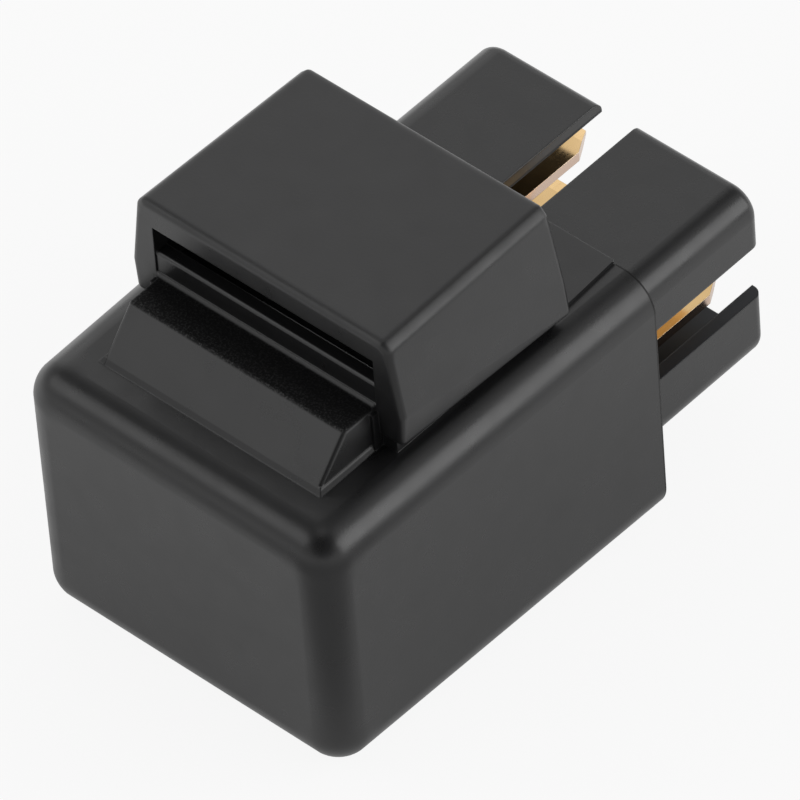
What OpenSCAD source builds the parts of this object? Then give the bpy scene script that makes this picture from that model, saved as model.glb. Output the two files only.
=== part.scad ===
// Sealed mini relay: cover with a bracket sleeve, base with four flat blades,
// coil, hinged armature and one pair of contacts inside.
// The closed end of the cover faces -Y, the blades point to +Y and it rests on Z = 0.

/* [Cover] */
// Width of the cover across its open end
cover_w = 28; // [28:0.5:30]
// Height of the cover at its open end
cover_h = 21.5; // [21.5:0.5:23]
// Length of the cover from the closed end to the rim
cover_len = 31.4; // [31.4:0.2:33.4]
// Side draft of the cover towards the closed end, each side
draft_x = 0.53; // [0.3:0.05:0.6]
// Draft of the top face towards the closed end
draft_z = 0.26; // [0.1:0.02:0.3]
// Radius of the long edges and corners
corner_r = 2.6; // [2.2:0.1:2.8]
// Thickness of the cover's walls
wall_t = 1.2; // [1:0.1:1.3]

/* [Bracket sleeve] */
// Start of the sleeve, measured from the closed end
sleeve_y = 9.75; // [9:0.25:11]
// Length of the sleeve along the cover
sleeve_len = 15.9; // [14:0.1:17]
// Distance from the cover's side to the sleeve's side
sleeve_inset = 2.2; // [2:0.1:2.6]
// Thickness of the slot's side walls at their foot
slot_side = 2.25; // [1.9:0.05:2.5]
// Height of the bracket slot
slot_h = 3.7; // [3:0.1:4]
// Thickness of the roof over the slot
roof_t = 2.35; // [1.8:0.05:3]
// Height of the catch lip at the slot's mouth, above the slot's floor
lip_h = 1.75; // [1.4:0.05:2]
// Thickness of the catch lip
lip_t = 1; // [0.8:0.1:1.2]

/* [Base and blades] */
// Width of one blade
blade_w = 6.3; // [6:0.1:6.4]
// Thickness of one blade
blade_t = 0.8; // [0.7:0.05:0.9]
// Spacing of the two blade columns
blade_pitch_x = 11.14; // [11:0.02:11.3]
// Spacing of the two blade rows
blade_pitch_z = 6.38; // [6.2:0.02:6.6]
// Reach of the blades beyond the cover's rim
blade_reach = 12.8; // [12.6:0.1:14]
// Distance from the cover's side to the shroud's side
shroud_inset = 2; // [1.9:0.05:2.1]
// Height of the connector shroud
shroud_h = 15; // [14.8:0.1:15.4]
// Reach of the shroud beyond the cover's rim
shroud_reach = 12.5; // [11.9:0.1:12.6]
// Wall of the shroud
shroud_t = 1; // [0.95:0.05:1.1]
// Radius of the outer edge at the shroud's end
shroud_tip_r = 0.8; // [0.5:0.1:0.9]
// Width of the slit in the shroud's top and bottom
slit_w = 3.4; // [3:0.1:3.8]
// Height of the slit in the shroud's sides
side_slit_h = 4.65; // [4.2:0.05:5]

/* [Coil and contacts] */
// Depth of the bobbin's flange outside the winding
flange_rim = 0.7; // [0.7:0.1:1.3]
// Length of the bobbin over its flanges
bobbin_len = 15.4; // [14.6:0.1:15.6]
// Share of the bobbin's width that the iron core takes
core_share = 0.464; // [0.43:0.002:0.48]
// Thickness of the yoke strip
yoke_t = 1.6; // [1.4:0.1:1.7]
// Thickness of the armature
armature_t = 1.4; // [1.2:0.1:1.4]
// Swing of the armature from open to closed, degrees
armature_swing = 2.6; // [2.2:0.1:2.8]
// Thickness of the contact arm and of the return spring
leaf_t = 0.4; // [0.3:0.05:0.4]
// Diameter of the two contact heads
contact_d = 3; // [2.6:0.1:3.2]

/* [Hidden] */

// Run of a cutter past a face, and steps of a fine arc
past = 1;
smooth = 64;

// Fits between parts
fit = 0.02;
plug_gap = 0.1;
air_gap = 0.05;

// Cover
overall_len = cover_len + blade_reach;
draft_ax = atan(draft_x / cover_len);
draft_az = atan(draft_z / cover_len);
near_x = cover_w / 2 - draft_x * (1 - corner_r / cover_len) - corner_r / cos(draft_ax);
near_z = cover_h - draft_z * (1 - corner_r / cover_len) - corner_r / cos(draft_az);
plate_step = 0.28;
plate_half = cover_w / 2 - 3.4;
plate_flare = 0.3;
plate_root = 0.6;
inner_half = cover_w / 2 - draft_x - wall_t;

// Sleeve, wedge and slot
sleeve_w = cover_w - 2 * sleeve_inset;
slot_w = sleeve_w - 2 * slot_side;
sleeve_end = sleeve_y + sleeve_len;
slot_floor = cover_h + 3.55;
slot_top = slot_floor + slot_h;
sleeve_top = slot_top + roof_t;
sleeve_foot = cover_h + 0.8;
sleeve_r = 1;
sleeve_edge = 0.45;
sleeve_bevel = 0.35;
sleeve_knee = slot_floor - 0.15;
lean = 0.8;
tuck = 0.15;
foot_flare = 0.3;
sleeve_draft = 0.35;
lip_r = 0.25;
lip_y = sleeve_y + 0.1;
mouth_cut = 0.3;
wedge_gap = 0.15;
wedge_w = slot_w - 2 * wedge_gap;
wedge_run = 5.85;
wedge_top_run = 2.8;
wedge_drop = 0.25;
wedge_r = 0.3;
wedge_foot = 0.2;
wedge_y = sleeve_y - wedge_run;
wedge_edge = sleeve_y - wedge_top_run;
wedge_z = slot_floor - wedge_drop;
wedge_low = cover_h - plate_root;
wedge_base = cover_h - draft_z - 0.02;
sill_run = 0.2;
post_over = 0.3;
post_run = 0.55;
rib_t = 0.9;
pocket_y = 2.2;
pocket_low = 0.5;
slot_bed = 1;
ball_share = 1.005;

// Base, measured from the closed end
rim_recess = 0.8;
flange_t = 3.2;
resin_t = 0.6;
flange_y = cover_len - rim_recess;
base_y = flange_y - flange_t;
shroud_y = cover_len + shroud_reach;
shroud_w = cover_w - 2 * shroud_inset;
shroud_r = 2;
side_slit_up = 0.6;
pillar_half = 1;
pillar_in = 0.2;
term_z = cover_h / 2 + 0.72;
row_low = term_z - blade_pitch_z / 2;
row_high = term_z + blade_pitch_z / 2;
col_x = blade_pitch_x / 2;
tip_run = 2;
tip_cut = 1.15;
lead_run = 1.1;
lead_cut = 0.26;

// Coil and magnet, placed from the base forwards
mid_z = cover_h / 2 - 0.05;
spring_room = 0.67;
spring_lip = 1.6;
stem_room = 0.87;
strip_t = 0.8;
yoke_out = spring_room + spring_lip - inner_half;
yoke_in = yoke_out + yoke_t;
stem_out = inner_half - stem_room;
stem_in = stem_out - strip_t;
bobbin_gap = 0.2;
contact_bay = 5;
bobbin_w = stem_in - yoke_in - contact_bay;
bobbin_half = bobbin_w / 2;
core_x = yoke_in + bobbin_gap + bobbin_half;
winding_d = bobbin_w - 2 * flange_rim;
foot_gap = 1.8;
yoke_end = base_y - foot_gap;
yoke_foot = yoke_end - yoke_t;
bobbin_y = yoke_foot - bobbin_len;
pole_t = 1;
pole_y = bobbin_y - pole_t;
pivot_y = pole_y - air_gap;
plate_y = pivot_y - armature_t;
leaf_y = plate_y - leaf_t;
flange_thick = 1;
barrel_t = 0.75;
core_d = core_share * bobbin_w;
barrel_d = core_d + 2 * barrel_t;
bobbin_r = 1.2;
yoke_margin = 1;
yoke_half = bobbin_half - yoke_margin;
yoke_tip = core_x + bobbin_half - 1.8;
pole_rim = 1.25;
pole_d = core_d + 2 * pole_rim;
neck_step = 0.75;
neck_d = core_d - 2 * neck_step;
upset_t = 0.3;
upset_rim = 0.4;

// Armature, contacts and return spring
armature_x = yoke_out + 0.15;
pole_lap = 0.3;
armature_tip = core_x + pole_d / 2 + pole_lap;
armature_r = 2;
tail_x = yoke_out - 1.2;
spring_half = bobbin_w / 4;
spring_rim = 1;
tail_half = spring_half - spring_rim;
arm_tip = stem_out - 0.4;
arm_half = 2.8;
arm_r = 1;
contact_x = stem_out - 2.8;
contact_shank = 1.2;
moving_head = 0.8;
touch_gap = 0.03;
fixed_y = plate_y + moving_head + touch_gap;
fixed_head = 0.8;
rail_y = fixed_y + fixed_head;
rail_run = 2.2;
stem_half = 2.5;
foot_run = 4.2;
foot_down = 1;
rivet_d = 1.6;
rivet_rim = 0.5;
rivet_x_inner = yoke_out + 0.43 * bobbin_w;
rivet_x_outer = core_x + 0.16 * bobbin_w;
arm_lap = 3;
arm_start = rivet_x_inner - arm_lap;
head_t = 0.4;
back_head_d = 2.4;
spring_back = 4.5;
spring_end = yoke_foot - spring_back;
window_half = tail_half + 0.3;
window_end = pivot_y + 0.8;
lip_gap = 0.01;
spring_rivet_front_lap = 4.15;
spring_rivet_rear_lap = 3;
spring_rivet_y1 = window_end + spring_rivet_front_lap;
spring_rivet_y2 = spring_end - spring_rivet_rear_lap;

// Stop hook on the bobbin
hook_x = stem_out - 1.4;
hook_low = mid_z - 0.8;
hook_wall = mid_z + spring_half;
hook_rise = 1.8;
hook_high = hook_wall + hook_rise;
hook_under = pivot_y - (arm_tip - yoke_out) * sin(armature_swing)
  - (pivot_y - leaf_y) * cos(armature_swing) - fit;
hook_t = 1;
hook_w = 2;
rest_low = mid_z - 2.7;

// Common blade's foot and side strip
strip_low = mid_z + 0.9;
strip_w = 4.8;
strip_high = strip_low + strip_w;
strip_lap = 1;
common_run = 2.8;

// Coil posts, leads and resistor
lug_half = 1.2;
lug_run = 1.4;
lug_drop = 0.6;
coil_foot = 1;
post_t = 0.8;
post_x = bobbin_half - lug_half;
post_z = 2.2;
post_run_in = 10.2;
wrap_back = 7.4;
resistor_back = 9.2;
post_y = base_y - post_run_in;
wrap_y = base_y - wrap_back;
wrap_len = 2.4;
wrap_r = 0.75 * post_t;
wire_d = 0.3;
turns = 8;
lead_back = 0.25;
resistor_y = base_y - resistor_back;
resistor_d = 2.3;
resistor_room = 4;
resistor_len = bobbin_w - 2 * resistor_room;
cap_len = 1.3;
waist = 0.4;
lead_d = 0.6;

function side_x(y) = cover_w / 2 - draft_x * (1 - y / cover_len);
function top_z(y) = cover_h - draft_z * (1 - y / cover_len);

// Helpers

module place() {
  translate([0, -overall_len / 2, 0])
    children();
}

module block(x0, x1, y0, y1, z0, z1) {
  translate([x0, y0, z0])
    cube([x1 - x0, y1 - y0, z1 - z0]);
}

module along_x(x0, x1) {
  translate([x0, 0, 0])
    rotate([90, 0, 90])
      linear_extrude(height = x1 - x0)
        children();
}

module along_y(y0, y1) {
  translate([0, y1, 0])
    rotate([90, 0, 0])
      linear_extrude(height = y1 - y0)
        children();
}

module along_z(z0, z1) {
  translate([0, 0, z0])
    linear_extrude(height = z1 - z0)
      children();
}

module rod_x(x0, x1, y, z, d) {
  translate([x0, y, z])
    rotate([0, 90, 0])
      cylinder(h = x1 - x0, d = d, $fn = 48);
}

module rod_y(x, y0, y1, z, d) {
  translate([x, y1, z])
    rotate([90, 0, 0])
      cylinder(h = y1 - y0, d = d, $fn = 48);
}

module rounded_rect(w, h, r) {
  square([w - 2 * r, h], center = true);
  square([w, h - 2 * r], center = true);
  for (x = [-1, 1], z = [-1, 1])
    translate([x * (w / 2 - r), z * (h / 2 - r)])
      circle(r = r, $fn = 48);
}

// Outline with rounded corners: centres lists the corner circles, counterclockwise

module soft_polygon(centres, r, fine) {
  n = len(centres);
  polygon([for (i = [0:n - 1], k = [0, 1])
    let (a = centres[i], b = centres[(i + 1) % n], d = (b - a) / norm(b - a))
    (k == 0 ? a : b) + r * [d[1], -d[0]]]);
  for (c = centres)
    translate(c)
      circle(r = r, $fn = fine);
}

// The drafted form of the cover, shrunk by inset for its inside and for the base.
// Each long edge comes from a prism that follows the draft on both faces.

module long_edge(r, inset, up) {
  far = cover_w + cover_h;
  tilt = up ? atan(tan(draft_az) * cos(draft_ax)) : 0;
  translate([side_x(0) - inset / cos(draft_ax), 0,
    up ? top_z(0) - inset / cos(draft_az) : inset])
    rotate([0, 0, -draft_ax])
      rotate([tilt, 0, 0])
        along_y(-corner_r, cover_len + corner_r)
          mirror([0, up ? 0 : 1])
            soft_polygon([[-far, -far], [-r, -far], [-r, -r], [-far, -r]], r, smooth);
}

module cover_form(inset, y_cut) {
  r = corner_r - inset;
  end_x = near_x + (y_cut - corner_r) * tan(draft_ax);
  end_z = near_z + (y_cut - corner_r) * tan(draft_az);
  intersection() {
    along_z(-1, cover_h + 1)
      cover_plan(r, end_x, y_cut);
    along_x(-cover_w, cover_w)
      cover_side(r, end_z, y_cut);
    long_edge(r, inset, true);
    long_edge(r, inset, false);
    mirror([1, 0, 0])
      long_edge(r, inset, true);
    mirror([1, 0, 0])
      long_edge(r, inset, false);
  }
}

module cover_plan(r, end_x, y_cut) {
  intersection() {
    soft_polygon([[-near_x, corner_r], [near_x, corner_r],
      [end_x + tan(draft_ax) * r, y_cut + r], [-end_x - tan(draft_ax) * r, y_cut + r]],
      r, smooth);
    translate([-cover_w, 0])
      square([2 * cover_w, y_cut]);
  }
}

module cover_side(r, end_z, y_cut) {
  intersection() {
    soft_polygon([[corner_r, corner_r], [y_cut + r, corner_r],
      [y_cut + r, end_z + tan(draft_az) * r], [corner_r, near_z]], r, smooth);
    translate([0, -1])
      square([y_cut, cover_h + 3]);
  }
}

// Rounds the point where three edges meet at the closed end

module ball_corner(up) {
  size = 2 * corner_r;
  translate([near_x, corner_r, up ? near_z : corner_r])
    difference() {
      translate([0, -size, up ? 0 : -size])
        cube([size, size, size]);
      sphere(r = ball_share * corner_r, $fn = 96);
    }
}

// Platform behind the sleeve and the sleeve's foot, in one plan

module plate_plan() {
  inner = plate_half + plate_flare;
  start = sleeve_y + 0.25;
  polygon([[-inner, start], [inner, start], [inner, sleeve_end],
    [plate_half, cover_len], [-plate_half, cover_len], [-inner, sleeve_end]]);
}

module raised_plate() {
  start = sleeve_y + 0.25;
  low = cover_h - plate_root;
  intersection() {
    along_x(-sleeve_w / 2, sleeve_w / 2)
      polygon([[start, low],
        [cover_len, low],
        [cover_len, top_z(cover_len) + plate_step],
        [sleeve_end - sleeve_edge, top_z(sleeve_end) + plate_step],
        [sleeve_end - sleeve_edge, sleeve_foot + sleeve_edge],
        [start, sleeve_foot + sleeve_edge]]);
    along_z(low - past, sleeve_top)
      plate_plan();
  }
}

module sleeve_puck(x, y, z) {
  for (side = [-1, 1])
    translate([side * (x - sleeve_r), y, z])
      rotate([90, 0, 0])
        rotate_extrude($fn = 32)
          translate([sleeve_r - sleeve_edge, 0])
            circle(r = sleeve_edge, $fn = 16);
}

module sleeve_ball(x, y, z) {
  for (side = [-1, 1])
    translate([side * (x - sleeve_edge), y, z])
      sphere(r = sleeve_edge, $fn = 24);
}

module sleeve_bevelled(x, y) {
  sleeve_ball(x - sleeve_bevel, y, sleeve_top - sleeve_edge);
  sleeve_ball(x, y, sleeve_top - sleeve_edge - sleeve_bevel);
}

module sleeve_form() {
  wide = sleeve_w / 2;
  front = sleeve_y + sleeve_edge;
  rear = sleeve_end - sleeve_edge;
  hull() {
    sleeve_bevelled(wide - lean, front);
    sleeve_bevelled(wide - lean - sleeve_draft, rear);
    sleeve_puck(wide, front, sleeve_knee);
    sleeve_puck(wide, rear, sleeve_knee);
    sleeve_ball(wide - tuck, front, sleeve_foot + sleeve_edge);
    sleeve_ball(wide + foot_flare, rear, sleeve_foot + sleeve_edge);
  }
}

// Section with both top edges rounded, its top at zero

module soft_top(w, r) {
  far = cover_h;
  soft_polygon([[r - w / 2, -far], [w / 2 - r, -far], [w / 2 - r, -r], [r - w / 2, -r]],
    r, smooth);
}

module wedge_profile() {
  polygon([[wedge_y, wedge_low], [wedge_y, wedge_base], [wedge_edge, wedge_z],
    [sleeve_y + past, wedge_z], [sleeve_y + past, wedge_low]]);
}

module lead_in_wedge() {
  half = wedge_w / 2;
  intersection() {
    along_x(-half, half)
      wedge_profile();
    translate([0, wedge_y, wedge_base])
      rotate([atan((wedge_z - wedge_base) / (wedge_edge - wedge_y)), 0, 0])
        along_y(-wedge_run, 2 * wedge_run)
          soft_top(wedge_w, wedge_r);
    translate([0, 0, wedge_z])
      along_y(wedge_y - past, sleeve_y + past)
        soft_top(wedge_w, wedge_r);
  }
  along_x(-half, half)
    polygon([[sleeve_y - sill_run, wedge_z - wedge_r], [sleeve_y - sill_run, wedge_z],
      [sleeve_y, slot_floor], [sleeve_y + past, slot_floor],
      [sleeve_y + past, wedge_z - wedge_r]]);
  block(-half - post_over, half + post_over, sleeve_y - post_run,
    sleeve_y + past, wedge_low, wedge_z - wedge_r);
}

// Small slanted strip along the wedge's foot, on both sides

module wedge_foot_strip() {
  half = wedge_w / 2;
  intersection() {
    along_x(-cover_w / 2, cover_w / 2)
      wedge_profile();
    along_y(wedge_y - past, sleeve_y + past)
      for (side = [-1, 1])
        polygon([[side * (half - wedge_foot), wedge_low],
          [side * (half + 2 * wedge_foot), wedge_low],
          [side * (half + 2 * wedge_foot), cover_h - 2 * wedge_foot],
          [side * half, cover_h + 1.2 * wedge_foot],
          [side * (half - wedge_foot), cover_h + 1.2 * wedge_foot]]);
  }
}

// Catch lip across the mouth, with a rounded front edge

module catch_lip() {
  half = slot_w / 2 + past;
  top = slot_floor + lip_h;
  block(-half, half, lip_y, lip_y + lip_t, slot_floor - past, top - lip_r);
  block(-half, half, lip_y + lip_r, lip_y + lip_t, slot_floor - past, top);
  rod_x(-half, half, lip_y + lip_r, top - lip_r, 2 * lip_r);
}

module slot_cut() {
  difference() {
    along_x(-slot_w / 2, slot_w / 2)
      polygon([[sleeve_y - past, slot_floor], [sleeve_end + past, slot_floor],
        [sleeve_end + past, slot_top], [sleeve_y + mouth_cut, slot_top],
        [sleeve_y - past, slot_top + mouth_cut + past]]);
    catch_lip();
  }
}

module core_out_pockets() {
  pocket = (slot_w - 2 * rib_t) / 3;
  for (i = [-1, 0, 1])
    block(i * (pocket + rib_t) - pocket / 2, i * (pocket + rib_t) + pocket / 2,
      sleeve_y + pocket_y, sleeve_end + past, sleeve_foot + pocket_low,
      slot_floor - slot_bed);
}

module cover() {
  color([0.06, 0.06, 0.065])
  place() {
    difference() {
      union() {
        difference() {
          cover_form(0, cover_len);
          for (side = [0, 1], up = [true, false])
            mirror([side, 0, 0])
              ball_corner(up);
        }
        raised_plate();
        sleeve_form();
        lead_in_wedge();
        wedge_foot_strip();
      }
      cover_form(wall_t, cover_len + 1);
      slot_cut();
      core_out_pockets();
    }
  }
}

// Base with the connector shroud

module shroud_outline() {
  translate([0, term_z])
    rounded_rect(shroud_w, shroud_h, shroud_r);
}

// Outer form of the shroud, its outer edge rounded at the open end

module shroud_form() {
  tip = shroud_tip_r;
  start = base_y + strip_t + tip;
  stop = shroud_y - tip;
  wide = shroud_w / 2;
  tall = shroud_h / 2;
  translate([0, 0, term_z]) {
    along_x(shroud_r - wide, wide - shroud_r)
      soft_polygon([[start, tip - tall], [stop, tip - tall], [stop, tall - tip],
        [start, tall - tip]], tip, smooth);
    along_z(shroud_r - tall, tall - shroud_r)
      soft_polygon([[tip - wide, start], [wide - tip, start], [wide - tip, stop],
        [tip - wide, stop]], tip, smooth);
    for (x = [-1, 1], z = [-1, 1])
      translate([x * (wide - shroud_r), start, z * (tall - shroud_r)])
        rotate([-90, 0, 0])
          rotate_extrude($fn = smooth)
            shroud_corner_profile(stop - start);
  }
}

module shroud_corner_profile(run) {
  square([shroud_r, run]);
  square([shroud_r - shroud_tip_r, run + shroud_tip_r]);
  translate([shroud_r - shroud_tip_r, run])
    circle(r = shroud_tip_r, $fn = smooth);
}

module plug_outline() {
  margin = wall_t + plug_gap;
  low = margin;
  high = top_z(base_y) - margin;
  translate([0, (low + high) / 2])
    rounded_rect(2 * (side_x(base_y) - margin), high - low, corner_r - margin);
}

module base_pillars() {
  for (side = [-1, 1])
    translate([0, 0, mid_z + side * (yoke_half - pillar_half - pillar_in)])
      block(-2 * pillar_half, 2 * pillar_half, yoke_end, base_y + 1,
        -pillar_half, pillar_half);
}

module shroud_slits() {
  start = flange_y + resin_t;
  block(-slit_w / 2, slit_w / 2, start, shroud_y + 1,
    term_z - shroud_h, term_z + shroud_h);
  block(-shroud_w, shroud_w, start, shroud_y + 1,
    term_z + side_slit_up - side_slit_h / 2, term_z + side_slit_up + side_slit_h / 2);
}

module base() {
  color([0.08, 0.08, 0.085])
  place() {
    difference() {
      union() {
        along_y(base_y, flange_y)
          plug_outline();
        shroud_form();
        base_pillars();
      }
      along_y(flange_y, shroud_y + 1)
        translate([0, term_z])
          rounded_rect(shroud_w - 2 * shroud_t, shroud_h - 2 * shroud_t,
            shroud_r - shroud_t);
      shroud_slits();
      for (x = [-col_x, col_x], z = [row_low, row_high])
        block(x - blade_w / 2, x + blade_w / 2, base_y - 1, flange_y + 1,
          z - blade_t / 2, z + blade_t / 2);
    }
  }
}

module seal_resin() {
  color([0.1, 0.09, 0.08])
  place() {
    difference() {
      intersection() {
        cover_form(wall_t, cover_len + 1);
        block(-cover_w, cover_w, flange_y, flange_y + resin_t, 0, cover_h);
      }
      along_y(flange_y - past, flange_y + resin_t + past)
        shroud_outline();
    }
  }
}

// Magnet: yoke, core, bobbin and winding

module yoke() {
  color([0.62, 0.63, 0.65])
  place() {
    difference() {
      along_z(mid_z - yoke_half, mid_z + yoke_half)
        union() {
          translate([yoke_out, pole_y])
            square([yoke_t, yoke_end - yoke_t - pole_y]);
          translate([yoke_out + yoke_t, yoke_foot])
            square([yoke_tip - yoke_out - yoke_t, yoke_t]);
          intersection() {
            translate([yoke_out + yoke_t, yoke_foot])
              circle(r = yoke_t, $fn = 48);
            translate([yoke_out, yoke_foot])
              square([yoke_t, yoke_t]);
          }
        }
      rod_y(core_x, yoke_foot - 1, yoke_end + 1, mid_z, neck_d + 2 * fit);
      for (y = [spring_rivet_y1, spring_rivet_y2])
        rod_x(yoke_out - 1, yoke_in + 1, y, mid_z, rivet_d + 2 * fit);
    }
  }
}

module core() {
  color([0.7, 0.71, 0.72])
  place() {
    rod_y(core_x, pole_y, bobbin_y, mid_z, pole_d);
    rod_y(core_x, pole_y + 0.5, yoke_foot, mid_z, core_d);
    rod_y(core_x, yoke_foot - 0.5, yoke_end + upset_t, mid_z, neck_d);
    rod_y(core_x, yoke_end, yoke_end + upset_t, mid_z, neck_d + 2 * upset_rim);
  }
}

module bobbin_flange(y0, y1) {
  along_y(y0, y1)
    translate([core_x, mid_z])
      rounded_rect(bobbin_w, bobbin_w, bobbin_r);
}

module post_lug(side) {
  x = core_x + side * post_x;
  block(x - lug_half, x + lug_half, yoke_foot - lug_run, yoke_foot,
    post_z - lug_drop, mid_z - bobbin_half + bobbin_r);
}

module stop_hook() {
  behind = bobbin_y + flange_thick;
  block(core_x + bobbin_half - bobbin_r, stem_in - plug_gap, bobbin_y, behind,
    rest_low, hook_high);
  block(stem_in - 1, stem_out, bobbin_y, behind, hook_wall, hook_high);
  block(stem_out - hook_w, stem_out, hook_under - hook_t, behind, hook_wall, hook_high);
  block(hook_x, stem_out, hook_under - hook_t, hook_under, hook_low, hook_high);
}

module bobbin() {
  color([0.9, 0.89, 0.84])
  place() {
    difference() {
      union() {
        rod_y(core_x, bobbin_y, yoke_foot, mid_z, barrel_d);
        bobbin_flange(bobbin_y, bobbin_y + flange_thick);
        bobbin_flange(yoke_foot - flange_thick, yoke_foot);
        post_lug(-1);
        post_lug(1);
        stop_hook();
      }
      rod_y(core_x, bobbin_y - 1, yoke_foot + 1, mid_z, core_d + 4 * fit);
      for (side = [-1, 1])
        translate([core_x + side * post_x, 0, post_z + post_t / 2])
          block(-post_t / 2 - fit, post_t / 2 + fit, yoke_foot - 3, yoke_foot + 1,
            -post_t / 2 - fit, post_t / 2 + fit);
    }
  }
}

module ridges(r_in, r_out, len, count, depth) {
  pitch = len / count;
  rotate_extrude($fn = 64)
    polygon(concat(
      [[r_in, len], [r_in, 0]],
      [for (i = [0:2 * count])
        [i % 2 == 0 ? r_out - depth : r_out, i * pitch / 2]]));
}

module winding() {
  color([0.62, 0.28, 0.12])
  place() {
    len = bobbin_len - 2 * flange_thick;
    translate([core_x, yoke_foot - flange_thick, mid_z])
      rotate([90, 0, 0])
        ridges(barrel_d / 2 + fit, winding_d / 2, len, 18, 0.2);
  }
}

// Moving parts, drawn with the armature open

module swing_open() {
  translate([yoke_out, pivot_y, 0])
    rotate([0, 0, -armature_swing])
      translate([-yoke_out, -pivot_y, 0])
        children();
}

module armature() {
  color([0.66, 0.67, 0.68])
  place() {
    swing_open() {
      difference() {
        along_y(plate_y, pivot_y)
          translate([0, mid_z])
            union() {
              translate([armature_x, -yoke_half])
                square([armature_tip - armature_r - armature_x, 2 * yoke_half]);
              translate([armature_x, armature_r - yoke_half])
                square([armature_tip - armature_x, 2 * (yoke_half - armature_r)]);
              for (side = [-1, 1])
                translate([armature_tip - armature_r, side * (yoke_half - armature_r)])
                  circle(r = armature_r, $fn = 48);
              translate([tail_x, -tail_half])
                square([armature_x + 1 - tail_x, 2 * tail_half]);
            }
        for (x = [rivet_x_inner, rivet_x_outer])
          rod_y(x, plate_y - 1, pivot_y + 1, mid_z, rivet_d + 2 * fit);
      }
    }
  }
}

module contact_arm() {
  color([0.8, 0.5, 0.3])
  place() {
    swing_open() {
      difference() {
        along_y(leaf_y, plate_y)
          translate([0, mid_z])
            union() {
              translate([arm_start, -arm_half])
                square([arm_tip - arm_r - arm_start, 2 * arm_half]);
              translate([arm_start, arm_r - arm_half])
                square([arm_tip - arm_start, 2 * (arm_half - arm_r)]);
              for (side = [-1, 1])
                translate([arm_tip - arm_r, side * (arm_half - arm_r)])
                  circle(r = arm_r, $fn = 32);
            }
        for (x = [rivet_x_inner, rivet_x_outer])
          rod_y(x, leaf_y - 1, plate_y + 1, mid_z, rivet_d + 2 * fit);
        rod_y(contact_x, leaf_y - 1, plate_y + 1, mid_z, contact_shank + 2 * fit);
      }
    }
  }
}

module arm_rivet(x) {
  place()
    swing_open() {
      rod_y(x, leaf_y, pivot_y, mid_z, rivet_d);
      rod_y(x, leaf_y - head_t, leaf_y, mid_z, rivet_d + 2 * rivet_rim);
    }
}

module arm_rivet_inner() {
  color([0.72, 0.72, 0.74])
    arm_rivet(rivet_x_inner);
}

module arm_rivet_outer() {
  color([0.72, 0.72, 0.74])
    arm_rivet(rivet_x_outer);
}

module moving_contact() {
  color([0.86, 0.86, 0.84])
  place() {
    swing_open() {
      rod_y(contact_x, plate_y, plate_y + moving_head, mid_z, contact_d);
      rod_y(contact_x, leaf_y, plate_y, mid_z, contact_shank);
      rod_y(contact_x, leaf_y - head_t, leaf_y, mid_z, back_head_d);
    }
  }
}

// Return spring on the yoke, its lip bears on the armature's tail

module return_spring() {
  color([0.75, 0.76, 0.78])
  place() {
    lip_in = plate_y - lip_gap;
    difference() {
      union() {
        block(yoke_out - leaf_t, yoke_out, lip_in - leaf_t, spring_end,
          mid_z - spring_half, mid_z + spring_half);
        block(yoke_out - spring_lip, yoke_out, lip_in - leaf_t, lip_in,
          mid_z - spring_half, mid_z + spring_half);
      }
      block(yoke_out - spring_lip - 1, yoke_out + 1, lip_in, window_end,
        mid_z - window_half, mid_z + window_half);
      for (y = [spring_rivet_y1, spring_rivet_y2])
        rod_x(yoke_out - 1, yoke_out + 1, y, mid_z, rivet_d + 2 * fit);
    }
  }
}

module spring_rivet(y) {
  place() {
    rod_x(yoke_out - leaf_t, yoke_in, y, mid_z, rivet_d);
    rod_x(yoke_out - leaf_t - head_t, yoke_out - leaf_t, y, mid_z,
      rivet_d + 2 * rivet_rim);
    rod_x(yoke_in, yoke_in + head_t, y, mid_z, rivet_d + rivet_rim);
  }
}

module spring_rivet_front() {
  color([0.72, 0.72, 0.74])
    spring_rivet(spring_rivet_y1);
}

module spring_rivet_rear() {
  color([0.72, 0.72, 0.74])
    spring_rivet(spring_rivet_y2);
}

// Terminals

module blade(x, z) {
  tip = overall_len;
  half = blade_w / 2;
  thick = blade_t / 2;
  translate([x, 0, z])
    intersection() {
      along_z(-thick, thick)
        polygon([[-half, base_y - strip_t],
          [half, base_y - strip_t],
          [half, tip - tip_run],
          [half - tip_cut, tip],
          [tip_cut - half, tip],
          [-half, tip - tip_run]]);
      along_x(-half, half)
        polygon([[base_y - strip_t, -thick],
          [tip - lead_run, -thick],
          [tip, lead_cut - thick],
          [tip, thick - lead_cut],
          [tip - lead_run, thick],
          [base_y - strip_t, thick]]);
    }
}

module fixed_contact() {
  color([0.86, 0.86, 0.84])
  place() {
    rod_y(contact_x, fixed_y, rail_y, mid_z, contact_d + 0.2);
    rod_y(contact_x, rail_y, rail_y + strip_t, mid_z, contact_shank);
  }
}

module terminal_contact() {
  color([0.82, 0.66, 0.34])
  place() {
    difference() {
      union() {
        blade(col_x, row_high);
        block(stem_out - foot_run, stem_out, base_y - strip_t, base_y,
          mid_z - foot_down, row_high + blade_t / 2);
        block(stem_in, stem_out, rail_y, base_y,
          mid_z - stem_half, mid_z + stem_half);
        block(contact_x - rail_run, stem_out, rail_y, rail_y + strip_t,
          mid_z - stem_half, mid_z + stem_half);
      }
      rod_y(contact_x, rail_y - past, rail_y + strip_t + past, mid_z,
        contact_shank + 2 * fit);
    }
  }
}

module terminal_common() {
  color([0.82, 0.66, 0.34])
  place() {
    blade(-col_x, row_high);
    block(yoke_out - strip_t, yoke_out + common_run, base_y - strip_t, base_y,
      strip_low, strip_high);
    block(yoke_out - strip_t, yoke_out, spring_end + strip_lap, base_y,
      strip_low, strip_high);
  }
}

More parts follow.
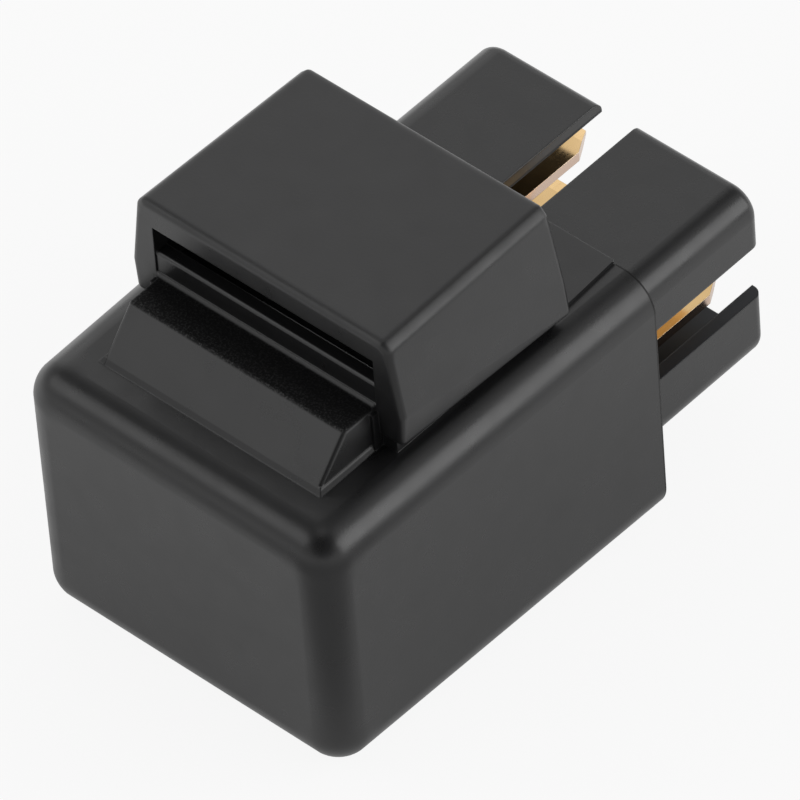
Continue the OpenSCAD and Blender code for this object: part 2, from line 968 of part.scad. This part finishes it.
module terminal_coil(side) {
  x = core_x + side * post_x;
  place() {
    blade(side * col_x, row_low);
    block(x - coil_foot, x + coil_foot, base_y - strip_t, base_y, post_z,
      row_low + blade_t / 2);
    block(x - post_t / 2, x + post_t / 2, post_y, base_y, post_z, post_z + post_t);
  }
}

module terminal_coil_left() {
  color([0.82, 0.66, 0.34])
    terminal_coil(-1);
}

module terminal_coil_right() {
  color([0.82, 0.66, 0.34])
    terminal_coil(1);
}

// Coil wire wrapped round the posts, and the resistor across them

module coil_lead(side) {
  reach_x = post_x;
  reach_z = mid_z - post_z - post_t / 2;
  reach = norm([reach_x, reach_z]);
  place()
    translate([core_x + side * post_x, wrap_y, post_z + post_t / 2]) {
      translate([0, wrap_len, 0])
        rotate([90, 0, 0])
          ridges(wrap_r, wrap_r + wire_d, wrap_len, turns, wire_d / 3);
      translate([0, wrap_len - lead_back, 0])
        rotate([0, -side * atan(reach_x / reach_z), 0])
          translate([0, 0, wrap_r + wire_d / 3])
            cylinder(h = reach - winding_d / 2 - wrap_r - wire_d / 3 - fit,
              d = wire_d, $fn = 24);
    }
}

module coil_lead_left() {
  color([0.62, 0.28, 0.12])
    coil_lead(-1);
}

module coil_lead_right() {
  color([0.62, 0.28, 0.12])
    coil_lead(1);
}

module resistor_body() {
  color([0.35, 0.5, 0.62])
  place() {
    half = resistor_len / 2;
    z = post_z + post_t / 2;
    rod_x(core_x - half, core_x + half, resistor_y, z, resistor_d - waist);
    rod_x(core_x - half, core_x - half + cap_len, resistor_y, z, resistor_d);
    rod_x(core_x + half - cap_len, core_x + half, resistor_y, z, resistor_d);
  }
}

module resistor_lead(side) {
  inner = resistor_len / 2;
  outer = post_x - post_t / 2;
  place()
    translate([core_x + side * (inner + outer) / 2, resistor_y, post_z + post_t / 2])
      rotate([0, 90, 0])
        cylinder(h = outer - inner, d = lead_d, center = true, $fn = 32);
}

module resistor_lead_left() {
  color([0.78, 0.78, 0.8])
    resistor_lead(-1);
}

module resistor_lead_right() {
  color([0.78, 0.78, 0.8])
    resistor_lead(1);
}

cover();
base();
seal_resin();
yoke();
core();
bobbin();
winding();
armature();
contact_arm();
arm_rivet_inner();
arm_rivet_outer();
moving_contact();
return_spring();
spring_rivet_front();
spring_rivet_rear();
fixed_contact();
terminal_contact();
terminal_common();
terminal_coil_left();
terminal_coil_right();
coil_lead_left();
coil_lead_right();
resistor_body();
resistor_lead_left();
resistor_lead_right();
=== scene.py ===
import math

import bpy
from mathutils import Matrix, Vector

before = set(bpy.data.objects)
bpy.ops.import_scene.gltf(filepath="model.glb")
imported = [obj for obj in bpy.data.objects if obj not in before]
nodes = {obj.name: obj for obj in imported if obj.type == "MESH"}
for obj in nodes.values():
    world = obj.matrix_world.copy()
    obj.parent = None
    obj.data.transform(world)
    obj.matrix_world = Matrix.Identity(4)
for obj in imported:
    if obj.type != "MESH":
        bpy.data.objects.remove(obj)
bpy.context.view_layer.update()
scene = bpy.context.scene
scene.view_settings.view_transform = "Standard"

# An automotive relay. Every visible shape is a solid of the frame. This script adds the
# camera, the light, the floor and the materials. Lengths are in metres, except where a
# comment says millimetres, and noise scales are per metre. X points right, Y towards the
# blades and Z up.

MM = 0.001


# Camera: fitted to the photograph's edges

AZIMUTH, ELEVATION, ROLL = math.radians(45.392), math.radians(45.917), math.radians(-4.759)
TO_CAMERA = Vector((math.sin(AZIMUTH) * math.cos(ELEVATION),
                    -math.cos(AZIMUTH) * math.cos(ELEVATION),
                    math.sin(ELEVATION)))
AIM = Vector((0, 1.9, 10))                                 # millimetres
DISTANCE, MOVE_RIGHT, MOVE_UP = 822.35, -1.764, -1.559     # millimetres
FOCAL_PIXELS, IMAGE_PIXELS, SENSOR = 12533.75, 800, 36     # the sensor in millimetres


def make_camera():
    level = Vector((math.cos(AZIMUTH), math.sin(AZIMUTH), 0))
    upright = TO_CAMERA.cross(level)
    right = math.cos(ROLL) * level + math.sin(ROLL) * upright
    up = -math.sin(ROLL) * level + math.cos(ROLL) * upright
    spot = AIM + TO_CAMERA * DISTANCE + right * MOVE_RIGHT + up * MOVE_UP
    data = bpy.data.cameras.new("camera")
    data.sensor_width = SENSOR
    data.lens = FOCAL_PIXELS / IMAGE_PIXELS * SENSOR
    data.clip_start = 0.05
    data.clip_end = 20
    camera = bpy.data.objects.new("camera", data)
    camera.matrix_world = Matrix((
        (right.x, up.x, TO_CAMERA.x, spot.x * MM),
        (right.y, up.y, TO_CAMERA.y, spot.y * MM),
        (right.z, up.z, TO_CAMERA.z, spot.z * MM),
        (0, 0, 0, 1)))
    scene.collection.objects.link(camera)
    scene.camera = camera


make_camera()


# Node helpers

class Graph:
    """Short names for the nodes that the room and the materials are made of.

    A value is a number, a tuple or the output socket of another node. A mask is a value
    from 0, outside a place, to 1, inside it.
    """

    def __init__(self, tree, space):
        self.tree = tree
        self.tree.nodes.clear()
        self.coord = self.node("ShaderNodeTexCoord").outputs[space]

    def node(self, kind, **settings):
        node = self.tree.nodes.new(kind)
        for key, value in settings.items():
            setattr(node, key, value)
        return node

    def link(self, output, socket):
        self.tree.links.new(output, socket)

    def put(self, value, socket):
        if isinstance(value, (int, float)):
            socket.default_value = value
        elif isinstance(value, tuple):
            needs_alpha = len(socket.default_value) == 4
            socket.default_value = (*value, 1) if needs_alpha else value
        else:
            self.link(value, socket)

    def noise(self, scale, detail, rough=0.5, stretch=None):
        source = self.coord
        if stretch:
            mapping = self.node("ShaderNodeMapping")
            self.put(stretch, mapping.inputs["Scale"])
            self.link(source, mapping.inputs["Vector"])
            source = mapping.outputs[0]
        noise = self.node("ShaderNodeTexNoise")
        for key, value in (("Vector", source), ("Scale", scale), ("Detail", detail),
                           ("Roughness", rough)):
            self.put(value, noise.inputs[key])
        return noise.outputs["Fac"]

    def ramp(self, fac, stops):
        """Colours along fac; each stop is a place and a grey level or a colour."""
        ramp = self.node("ShaderNodeValToRGB")
        elements = ramp.color_ramp.elements
        while len(elements) < len(stops):
            elements.new(0.5)
        for element, (place, color) in zip(elements, stops):
            element.position = place
            if isinstance(color, float):
                color = (color, color, color)
            element.color = (*color, 1)
        self.link(fac, ramp.inputs["Fac"])
        return ramp.outputs["Color"]

    def spread(self, value, start, end, at_start, at_end, kind="LINEAR"):
        """at_start where the value is start or before it, at_end from end on."""
        spread = self.node("ShaderNodeMapRange", interpolation_type=kind)
        for key, number in (("Value", value), ("From Min", start), ("From Max", end),
                            ("To Min", at_start), ("To Max", at_end)):
            self.put(number, spread.inputs[key])
        return spread.outputs["Result"]

    def between(self, value, low, high, soft=0.05):
        """A mask of the values from low to high, with margins of that softness."""
        above = self.spread(value, low - soft, low + soft, 0.0, 1.0)
        below = self.spread(value, high - soft, high + soft, 1.0, 0.0)
        return self.times(above, below)

    def choose(self, mask, outside, inside):
        return self.spread(mask, 0.0, 1.0, outside, inside)

    def math(self, kind, a, b):
        node = self.node("ShaderNodeMath", operation=kind)
        self.put(a, node.inputs[0])
        self.put(b, node.inputs[1])
        return node.outputs[0]

    def chain(self, kind, values):
        result = values[0]
        for value in values[1:]:
            result = self.math(kind, result, value)
        return result

    def times(self, *values):
        return self.chain("MULTIPLY", values)

    def largest(self, *values):
        return self.chain("MAXIMUM", values)

    def scaled(self, vector, factor):
        node = self.node("ShaderNodeVectorMath", operation="SCALE")
        self.put(vector, node.inputs[0])
        self.put(factor, node.inputs["Scale"])
        return node.outputs["Vector"]

    def measure(self, kind, a, b):
        """A number from two vectors: their DISTANCE or DOT_PRODUCT."""
        node = self.node("ShaderNodeVectorMath", operation=kind)
        self.put(a, node.inputs[0])
        self.put(b, node.inputs[1])
        return node.outputs["Value"]

    def axes(self, vector):
        node = self.node("ShaderNodeSeparateXYZ")
        self.link(vector, node.inputs[0])
        return node.outputs["X"], node.outputs["Y"], node.outputs["Z"]

    def mix(self, mask, outside, inside, kind="RGBA"):
        node = self.node("ShaderNodeMix", data_type=kind)
        used = [socket for socket in node.inputs if socket.enabled]
        self.put(mask, node.inputs[0])
        for value, name in ((outside, "A"), (inside, "B")):
            self.put(value, next(socket for socket in used if socket.name == name))
        return next(socket for socket in node.outputs if socket.enabled)

    def mix_shaders(self, mask, outside, inside):
        node = self.node("ShaderNodeMixShader")
        for value, socket in zip((mask, outside, inside), node.inputs):
            self.put(value, socket)
        return node.outputs[0]

    def ray(self, kind):
        return self.node("ShaderNodeLightPath").outputs[kind]


class Look(Graph):
    """A material, with the parts that the plastics and the metals share."""

    def __init__(self, name):
        self.material = bpy.data.materials.new(name)
        self.material.use_nodes = True
        super().__init__(self.material.node_tree, "Object")
        self.out = self.node("ShaderNodeOutputMaterial")

    def face_normal(self):
        return self.node("ShaderNodeNewGeometry").outputs["Normal"]

    def rounded(self, radius):
        """The normal, with the edges softened by that radius."""
        bevel = self.node("ShaderNodeBevel", samples=8)
        self.put(radius, bevel.inputs["Radius"])
        return bevel.outputs["Normal"]

    def edges(self, soft):
        """A mask of the edges: where the softened normal leaves the face's own."""
        dot = self.measure("DOT_PRODUCT", soft, self.face_normal())
        return self.spread(dot, 0.97, 0.75, 0.0, 1.0)

    def worn_edges(self, soft):
        """A mask of the edges of moulded plastic, worn in patches."""
        patches = self.spread(self.noise(900, 3), 0.35, 0.7, 0.2, 1.0)
        return self.times(self.edges(soft), patches)

    def mottled(self, dark, light):
        return self.ramp(self.noise(160, 3), [(0.3, dark), (0.7, light)])

    def satin(self, rough, worn):
        """Roughness that varies about its mean and is lower on the worn edges."""
        varied = self.spread(self.noise(420, 4), 0.3, 0.7, rough - 0.04, rough + 0.04)
        return self.math("SUBTRACT", varied, self.times(worn, 0.05))

    def bump(self, height, strength, distance, normal):
        bump = self.node("ShaderNodeBump")
        for key, value in (("Height", height), ("Strength", strength),
                           ("Distance", distance), ("Normal", normal)):
            self.put(value, bump.inputs[key])
        return bump.outputs["Normal"]

    def grain(self, scale, normal):
        """The fine grain of moulded plastic."""
        return self.bump(self.noise(scale, 2), 0.2, 0.02 * MM, normal)

    def done(self, color, rough, normal, metallic=0.0, specular=0.5):
        shader = self.node("ShaderNodeBsdfPrincipled")
        for key, value in (("Base Color", color), ("Roughness", rough), ("Normal", normal),
                           ("Metallic", metallic), ("Specular IOR Level", specular)):
            self.put(value, shader.inputs[key])
        self.link(shader.outputs[0], self.out.inputs["Surface"])
        return self.material


class Skin(Look):
    """A look that changes from place to place.

    Places are in millimetres and slopes are the face normal's. The look is the same on both
    sides, so x and nx are taken without their sign: distances from the middle plane.
    """

    def __init__(self, name):
        super().__init__(name)
        x, y, z = self.axes(self.scaled(self.coord, 1 / MM))
        nx, ny, nz = self.axes(self.face_normal())
        self.at = {"x": self.math("ABSOLUTE", x, 0.0), "y": y, "z": z,
                   "nx": self.math("ABSOLUTE", nx, 0.0), "ny": ny, "nz": nz}

    def place(self, **limits):
        """A mask inside all the limits: low, high and, if given, the margins' softness."""
        return self.times(*(self.between(self.at[key], *span) for key, span in limits.items()))

    def past(self, key, start, end):
        """A mask that begins at start and is full from end on, upwards or downwards."""
        return self.spread(self.at[key], start, end, 0.0, 1.0)

    def folded_place(self):
        node = self.node("ShaderNodeCombineXYZ")
        for key, socket in zip("xyz", node.inputs):
            self.link(self.at[key], socket)
        return node.outputs[0]


# Light: a pale room, darker overhead and behind the camera, with a glow high at the back
# right and four soft boxes

ROOM_LEVELS = [(0.0, 1.1), (0.1, 0.9), (0.3, 0.65), (0.62, 0.45), (0.8, 0.25), (1.0, 0.25)]
GLOW_WAY, GLOW_COSINES, GLOW_LEVEL = (0.4, 0.489, 0.775), (0.945, 0.997), 0.4
SHADE_COSINES, SHADE_SHARE = (0.75, 0.95), 0.2             # round the way to the camera
BOX_DISTANCE, BOX_AIM_HEIGHT = 0.55, 0.015
SOFT_BOXES = [
    # name, degrees round from +X, degrees up, width, height, radiance
    ("back_left", 138, 38, 0.46, 0.36, 0.47),
    ("right_back", 32, 24.5, 0.42, 0.36, 1.7),
    ("front_left", 227, 41, 0.36, 0.22, 0.95),
    ("overhead", 0, 90, 0.26, 0.26, 0.3),
]


def make_world():
    world = bpy.data.worlds.new("room")
    scene.world = world
    world.use_nodes = True
    g = Graph(world.node_tree, "Generated")
    level = g.ramp(g.axes(g.coord)[2], ROOM_LEVELS)
    towards_glow = g.measure("DOT_PRODUCT", g.coord, GLOW_WAY)
    glow = g.spread(towards_glow, *GLOW_COSINES, 0.0, GLOW_LEVEL, "SMOOTHSTEP")
    towards_camera = g.measure("DOT_PRODUCT", g.coord, tuple(TO_CAMERA))
    shade = g.spread(towards_camera, *SHADE_COSINES, 1.0, SHADE_SHARE, "SMOOTHSTEP")
    room = g.node("ShaderNodeBackground")
    g.link(g.times(g.math("ADD", level, glow), shade), room.inputs["Strength"])
    white = g.node("ShaderNodeBackground")
    for background in (room, white):
        background.inputs["Color"].default_value = (1, 1, 1, 1)
    both = g.mix_shaders(g.ray("Is Camera Ray"), room.outputs[0], white.outputs[0])
    g.link(both, g.node("ShaderNodeOutputWorld").inputs["Surface"])


def soft_box(name, azimuth, elevation, width, height, radiance):
    a, e = math.radians(azimuth), math.radians(elevation)
    way = Vector((math.cos(a) * math.cos(e), math.sin(a) * math.cos(e), math.sin(e)))
    data = bpy.data.lights.new(name, "AREA")
    data.shape = "RECTANGLE"
    data.size, data.size_y = width, height
    data.energy = 4 * radiance * width * height
    lamp = bpy.data.objects.new(name, data)
    lamp.location = way * BOX_DISTANCE + Vector((0, 0, BOX_AIM_HEIGHT))
    lamp.rotation_mode = "QUATERNION"
    lamp.rotation_quaternion = way.to_track_quat("Z", "Y")
    lamp.visible_camera = False
    scene.collection.objects.link(lamp)


make_world()
for box in SOFT_BOXES:
    soft_box(*box)


# Black plastic of the cover and the base. Places and softened edges are in millimetres

MIDDLE = -1.0                 # as a lower limit of x: nothing is left out at the middle

# Places where the cover's edges are crisp
PLATE_STEP = dict(x=(10.3, 11.3), y=(3.6, 9.2), z=(20.9, 22.1))
UNDER_SLEEVE = dict(x=(10.9, 12.5), y=(-13.0, 4.2), z=(21.0, 22.7))
REAR_EDGE = dict(x=(9.5, 12.6), y=(2.0, 4.8), z=(21.4, 29.4))

# Softened edges: plain ones, the can's blunt corners and the sleeve's top
EDGE, BLUNT_EDGE, SLEEVE_EDGE, BASE_EDGE = 0.15, 1.3, 0.5, 0.2
CORNERS = ((10.91, -19.5, 18.66), (10.91, -19.5, 2.6))
CORNER_REACH = (2.72, 3.15)   # blunt up to the first distance, plain from the second
SLEEVE_TOP = (29.6, 29.9)     # heights where the sleeve's top begins
UPPER_EDGE = (30.65, 30.95)   # heights where the upper half of its edges begins

# Places where the cover's skin differs, several of them by painted highlight or shade. tilt is
# the softened normal's z
EDGE_TILT = dict(tilt=(0.45, 0.993, 0.01))
# The sleeve's rear corners and the wedge's slanted edges, foot strips and posts carry painted
# shade; the wedge's front and sides carry painted sheen
REAR_CORNERS = dict(y=(0.5, 4.6), z=(21.4, 30.4))
WEDGE = dict(y=(-19.0, -12.42), z=(21.62, 24.77, 0.03))
WEDGE_FRONT = dict(x=(MIDDLE, 9.35))
WEDGE_SIDE = dict(z=(21.75, 24.7))
WEDGE_SLANT = dict(nx=(0.2, 0.85, 0.08), x=(9.2, 9.8))
FOOT_STRIP = dict(x=(9.5, 10.1, 0.03), nx=(0.2, 0.95, 0.03), z=(21.2, 22.0, 0.02),
                  y=(-19.0, -12.5))
POST = dict(x=(9.5, 9.95, 0.03), y=(-13.0, -12.36, 0.03), z=(21.0, 24.7))
WEDGE_TOP = dict(z=(24.64, 24.88, 0.06), y=(-16.2, -12.4, 0.1), x=(MIDDLE, 9.6, 0.1))
# The rim's place, where a dark line is painted shade
RIM = dict(y=(9.17, 9.5, 0.02))
RAISED_PLATE = dict(x=(MIDDLE, 10.75))

# Specular levels, and the shares by which other places multiply them. The wedge front's higher
# level and the shares above one are painted sheen; the shares below one are painted shade
SPECULAR, FRONT_SPECULAR, HOLLOW_SPECULAR = 0.6, 0.84, 0.3
SIDE_SHARE, PAINTED_SHADE_SHARE, UPPER_SHARE, RIM_SHARE = 1.6, 0.3, 0.65, 0.35

# What the places add to the roughness
RUBBED_ROUGH, TORN_ROUGH, HOLLOW_ROUGH = 0.11, 0.25, 0.2

# Colours
COVER_DARK, COVER_LIGHT = (0.010, 0.010, 0.0105), (0.012, 0.012, 0.0125)
# The rubbed colour is rubbed wear, and also a painted soft highlight on the sleeve's top edges
COVER_WORN, COVER_RUBBED_HIGHLIT = (0.016, 0.016, 0.0165), (0.02, 0.02, 0.0205)
# The rim colour is painted shade: the dark line round the rim
COVER_RIM_SHADE, COVER_TORN = (0.006, 0.006, 0.006), (0.009, 0.009, 0.0093)
BASE_DARK, BASE_LIGHT = (0.009, 0.009, 0.0095), (0.011, 0.011, 0.0115)
# The hollow colour, lighter and bluer than the rest, is a painted reflection inside the shroud
BASE_WORN, BASE_HOLLOW_REFLECTION = (0.015, 0.015, 0.0155), (0.018, 0.02, 0.024)


def edge_radius(t):
    """None at the plate's step, under the sleeve and at its rear edges; more round the
    blunt corners and the sleeve's top."""
    crisp = t.largest(t.place(**PLATE_STEP), t.place(**UNDER_SLEEVE), t.place(**REAR_EDGE))
    here = t.folded_place()
    reach = t.math("MINIMUM", *(t.measure("DISTANCE", here, corner) for corner in CORNERS))
    return t.largest(t.choose(crisp, EDGE, 0.0),
                     t.spread(reach, *CORNER_REACH, BLUNT_EDGE, 0.0),
                     t.spread(t.at["z"], *SLEEVE_TOP, 0.0, SLEEVE_EDGE))


def cover_look():
    """The cover's satin black, with the places where its skin differs, several of them painted
    highlight or shade.
    """
    t = Skin("satin_black")
    soft = t.rounded(t.times(edge_radius(t), MM))
    t.at["tilt"] = t.axes(soft)[2]
    worn = t.worn_edges(soft)
    color = t.mix(worn, t.mottled(COVER_DARK, COVER_LIGHT), COVER_WORN)
    rough = t.satin(0.3, worn)

    # The sleeve: its top edges are rubbed, rougher and lighter, and the lighter colour is also
    # a painted soft highlight along them. Less gloss on the upper half of these edges and on
    # the rear corners is painted shade
    rubbed_highlit = t.times(t.place(**EDGE_TILT), t.past("z", *SLEEVE_TOP))
    upper = t.times(rubbed_highlit, t.past("z", *UPPER_EDGE), t.past("nx", 0.2, 0.4))
    rear = t.times(t.place(**REAR_CORNERS), t.past("ny", 0.15, 0.4), t.past("nx", 0.1, 0.3))
    color = t.mix(rubbed_highlit, color, COVER_RUBBED_HIGHLIT)
    rough = t.math("ADD", rough, t.times(rubbed_highlit, RUBBED_ROUGH))

    # The wedge: more gloss on its front and sides is painted sheen; less gloss on its slanted
    # edges, foot strips and posts, and on the sleeve's rear corners, is painted shade
    wedge = t.place(**WEDGE)
    front = t.times(wedge, t.past("ny", -0.3, -0.6), t.place(**WEDGE_FRONT))
    side = t.times(wedge, t.past("nx", 0.8, 0.95), t.place(**WEDGE_SIDE))
    slant = t.times(wedge, t.place(**WEDGE_SLANT))
    painted_shade = t.largest(slant, rear, t.place(**FOOT_STRIP), t.place(**POST))

    # The rim: a painted shade line round it, dark and with little gloss, but not along the
    # raised plate
    plate = t.times(t.place(**RAISED_PLATE), t.past("z", 21.2, 21.3))
    rim_shade = t.times(t.place(**RIM), t.choose(plate, 1.0, 0.0), t.past("ny", 0.7, 0.5))
    color = t.mix(rim_shade, color, COVER_RIM_SHADE)

    # The wedge's top: rough and nearly black, speckled towards its front edge, and darker
    # towards the sleeve as painted shade
    torn = t.place(**WEDGE_TOP)
    pits = t.noise(6500, 3, 0.7)
    speckles_and_shade = t.times(t.spread(pits, 0.48, 0.7, 0.12, 0.85),
                       t.spread(t.at["y"], -15.4, -13.6, 1.0, 0.3))
    color = t.mix(torn, color, COVER_TORN)
    rough = t.math("ADD", rough, t.times(torn, TORN_ROUGH))

    specular = t.times(t.choose(front, SPECULAR, FRONT_SPECULAR),
                       t.choose(side, 1.0, SIDE_SHARE), t.choose(painted_shade, 1.0, PAINTED_SHADE_SHARE),
                       t.choose(upper, 1.0, UPPER_SHARE), t.choose(rim_shade, 1.0, RIM_SHARE))
    specular = t.mix(torn, specular, speckles_and_shade, "FLOAT")
    normal = t.grain(5200, soft)
    normal = t.bump(t.times(pits, torn), 0.5, 0.05 * MM, normal)
    return t.done(color, rough, normal, specular=specular)


def base_look():
    """The base's satin black, a little bluer and duller inside the shroud, where the lighter
    colour is a painted reflection.
    """
    t = Skin("base_black")
    hollow = t.place(x=(MIDDLE, 11.2), z=(3.8, 18.2))
    ledges = t.times(t.past("nz", 0.5, 0.8), t.past("z", 17.2, 17.0))
    inside = t.times(t.largest(hollow, ledges), t.past("y", 9.6, 9.7))
    soft = t.rounded(BASE_EDGE * MM)
    worn = t.worn_edges(soft)
    color = t.mix(inside, t.mottled(BASE_DARK, BASE_LIGHT), BASE_HOLLOW_REFLECTION)
    color = t.mix(worn, color, BASE_WORN)
    rough = t.math("ADD", t.satin(0.28, worn), t.times(inside, HOLLOW_ROUGH))
    return t.done(color, rough, t.grain(6500, soft),
                  specular=t.choose(inside, SPECULAR, HOLLOW_SPECULAR))


# Other materials

def moulded(name, dark, light, worn_color, rough, grain, edge):
    """Moulded plastic: mottled colour, fine grain, softened and slightly worn edges."""
    t = Look(name)
    soft = t.rounded(edge)
    worn = t.worn_edges(soft)
    color = t.mix(worn, t.mottled(dark, light), worn_color)
    return t.done(color, t.satin(rough, worn), t.grain(grain, soft))


def metal(name, dark, light, worn_color, rough, stretch=None, bump=0.1, cut=None):
    """Metal: mottled colour, drawn lines and bright worn edges.

    stretch squeezes the lines' pattern along the axes. cut is the colour of the blades' cut
    sides outside the housing.
    """
    t = Look(name)
    soft = t.rounded(0.06 * MM)
    color = t.ramp(t.noise(300, 4), [(0.3, dark), (0.7, light)])
    if cut:
        sideways = t.math("ABSOLUTE", t.axes(t.face_normal())[0], 0.0)
        side = t.spread(sideways, 0.6, 0.9, 0.0, 1.0)
        outside = t.spread(t.axes(t.coord)[1], 8.5 * MM, 9 * MM, 0.0, 1.0)
        color = t.mix(t.times(side, outside), color, cut)
    worn = t.times(t.edges(soft), t.spread(t.noise(1200, 2), 0.3, 0.7, 0.3, 1.0))
    color = t.mix(worn, color, worn_color)
    lines = t.noise(900, 2, 0.6, stretch)
    varied = t.spread(lines, 0.3, 0.7, rough - 0.04, rough + 0.05)
    return t.done(color, varied, t.bump(lines, bump, 0.01 * MM, soft), metallic=1.0)


# The three colours of a look: dark patches, light patches, worn edges
looks = [
    (cover_look(), ["cover"]),
    (base_look(), ["base"]),
    (moulded("resin", (0.015, 0.013, 0.011), (0.03, 0.026, 0.02), (0.035, 0.03, 0.024),
             rough=0.36, grain=900, edge=0.1 * MM), ["seal_resin"]),
    (moulded("white_nylon", (0.72, 0.71, 0.64), (0.8, 0.79, 0.72), (0.86, 0.85, 0.8),
             rough=0.45, grain=3000, edge=0.1 * MM), ["bobbin"]),
    (moulded("resistor_lacquer", (0.1, 0.22, 0.33), (0.16, 0.3, 0.42), (0.3, 0.42, 0.5),
             rough=0.25, grain=1500, edge=0.06 * MM), ["resistor_body"]),
    (metal("plated_steel", (0.55, 0.56, 0.58), (0.68, 0.69, 0.7), (0.8, 0.8, 0.8),
           rough=0.3, stretch=(1, 6, 1)), ["yoke", "armature"]),
    (metal("core_iron", (0.5, 0.5, 0.51), (0.62, 0.62, 0.63), (0.75, 0.75, 0.75),
           rough=0.34), ["core"]),
    (metal("spring_steel", (0.6, 0.6, 0.6), (0.74, 0.74, 0.73), (0.85, 0.85, 0.84),
           rough=0.22, stretch=(1, 1, 8)), ["return_spring"]),
    (metal("bronze", (0.55, 0.32, 0.16), (0.7, 0.43, 0.24), (0.85, 0.6, 0.4),
           rough=0.26, stretch=(8, 1, 1)), ["contact_arm"]),
    (metal("brass", (0.66, 0.45, 0.21), (0.76, 0.53, 0.27), (0.84, 0.68, 0.5),
           rough=0.13, stretch=(7, 1, 1), bump=0.03, cut=(0.74, 0.56, 0.45)),
     ["terminal_contact", "terminal_common", "terminal_coil_left", "terminal_coil_right"]),
    (metal("silver", (0.72, 0.71, 0.68), (0.86, 0.85, 0.82), (0.92, 0.92, 0.9),
           rough=0.3), ["moving_contact", "fixed_contact"]),
    (metal("rivet_metal", (0.55, 0.55, 0.56), (0.7, 0.7, 0.71), (0.82, 0.82, 0.82),
           rough=0.35),
     ["arm_rivet_inner", "arm_rivet_outer", "spring_rivet_front", "spring_rivet_rear"]),
    (metal("enamel_copper", (0.42, 0.14, 0.05), (0.6, 0.24, 0.09), (0.75, 0.4, 0.2),
           rough=0.25, stretch=(1, 9, 1)), ["winding", "coil_lead_left", "coil_lead_right"]),
    (metal("tinned", (0.6, 0.6, 0.61), (0.75, 0.75, 0.76), (0.85, 0.85, 0.85),
           rough=0.3), ["resistor_lead_left", "resistor_lead_right"]),
]
for look, names in looks:
    for name in names:
        mesh = nodes[name].data
        mesh.materials.clear()
        mesh.materials.append(look)


# Floor: pale paper. The camera sees it white, with a faint shadow of the part. In gloss it is
# painted light: brighter away from the part and towards +X +Y, and dim near the part and
# towards the camera's +X -Y, where the dimness is the part's painted shade and shadow

FLOOR_HALF, FLOOR_DROP, PAPER = 3.0, 0.00002, (0.86, 0.86, 0.86)
WHITE_SHARE, GLOSS_SHARE = 0.9, 0.6
# Near the part the gloss is dimmer: painted shade
NEAR, FAR = (0.02, 0.06, 0.76, 1.24), (0.06, 0.16, 0.0, 0.5)   # distances, gloss levels there
BACK_RIGHT = (-0.03, 0.03, 0.97, 1.06)                     # x + y, shares of the level there
# Towards the camera's +X -Y the gloss dims: the part's painted shadow
FRONT_RIGHT_SHADOW = (0.037, 0.048, 1.0, 0.36)                    # x - y, shares of the level there


def make_floor():
    mesh = bpy.data.meshes.new("floor")
    s = FLOOR_HALF
    mesh.from_pydata([(-s, -s, 0), (s, -s, 0), (s, s, 0), (-s, s, 0)], [], [(0, 1, 2, 3)])
    floor = bpy.data.objects.new("floor", mesh)
    floor.location.z = -FLOOR_DROP
    scene.collection.objects.link(floor)

    t = Look("paper")
    x, y, _ = t.axes(t.coord)
    reach = t.measure("DISTANCE", t.coord, (0, 0, 0))
    level = t.math("ADD", t.spread(reach, *NEAR), t.spread(reach, *FAR))
    back_right = t.spread(t.math("ADD", x, y), *BACK_RIGHT)
    painted_shadow = t.spread(t.math("SUBTRACT", x, y), *FRONT_RIGHT_SHADOW)
    in_gloss = t.node("ShaderNodeEmission")
    t.link(t.times(level, back_right, painted_shadow), in_gloss.inputs["Strength"])
    white = t.node("ShaderNodeEmission")
    t.put(1.0, white.inputs["Strength"])
    paper = t.node("ShaderNodeBsdfDiffuse")
    t.put(PAPER, paper.inputs["Color"])
    seen = t.mix_shaders(t.times(t.ray("Is Glossy Ray"), GLOSS_SHARE),
                         paper.outputs[0], in_gloss.outputs[0])
    seen = t.mix_shaders(t.times(t.ray("Is Camera Ray"), WHITE_SHARE), seen, white.outputs[0])
    t.link(seen, t.out.inputs["Surface"])
    mesh.materials.append(t.material)


make_floor()
